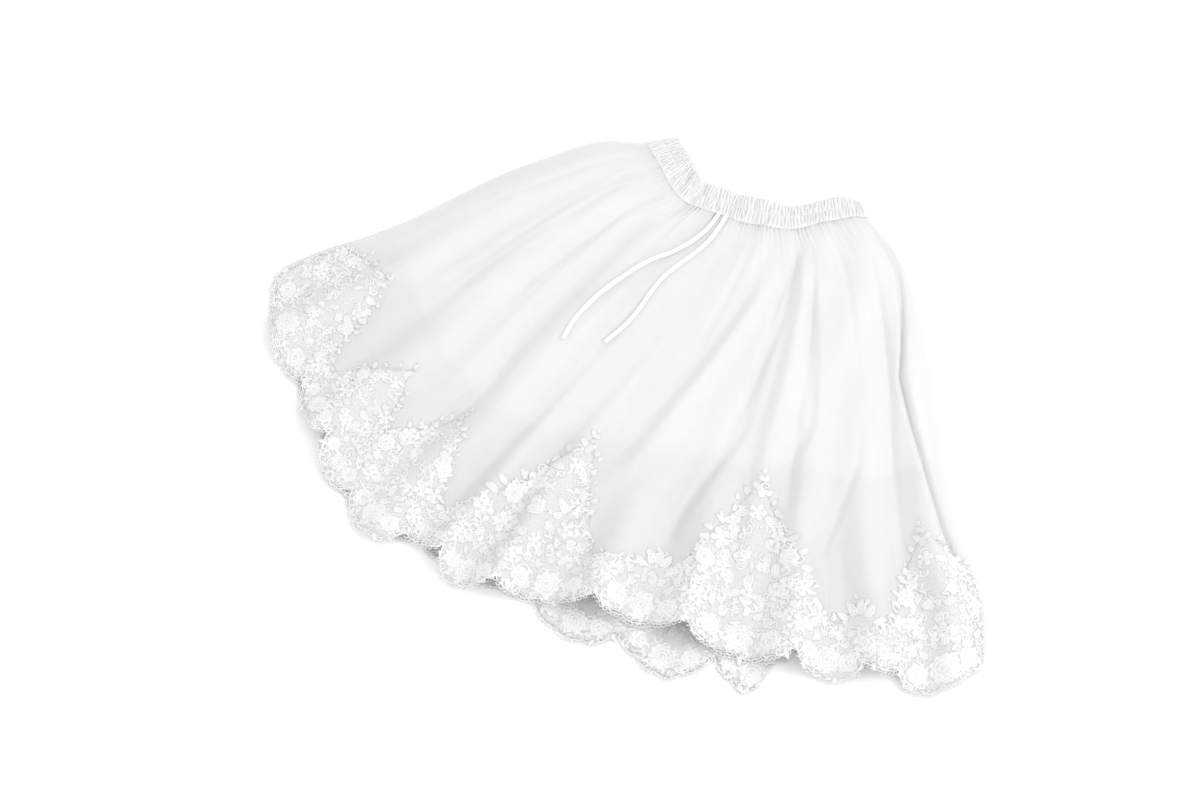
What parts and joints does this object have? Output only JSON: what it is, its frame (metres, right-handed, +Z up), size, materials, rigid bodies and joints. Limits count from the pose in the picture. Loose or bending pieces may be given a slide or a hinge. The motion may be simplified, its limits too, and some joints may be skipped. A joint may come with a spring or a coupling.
{
  "type": "lace-hemmed tulle skirt, laid flat",
  "caption": "Gathered white tulle skirt with a drawstring waist and scalloped floral lace hem, lying flat with its front up.",
  "frame": {"origin": "middle of the laid skirt's footprint, on the surface it lies on", "axes": "+Z up off the surface, +Y from the hem to the waist, +X across the skirt to its right as seen from the front"},
  "size_m": [1.0446, 0.7178, 0.0395],
  "materials": {
    "tulle": "sheer white net with a soft matte sheen",
    "lining": "fine white woven lining, matte",
    "band": "white gathered tulle casing, matte",
    "lace": "raised white embroidered lace, satin thread",
    "cord": "soft flat white cord, matte"
  },
  "bodies": {
    "root": {"skirt_front": "tulle", "skirt_back": "tulle", "lining_back": "lining", "lining_front": "lining", "waistband_front": "band", "waistband_back": "band", "lace_front": "lace", "lace_back": "lace", "drawstring_left": "cord", "drawstring_right": "cord"}
  },
  "joints": []
}
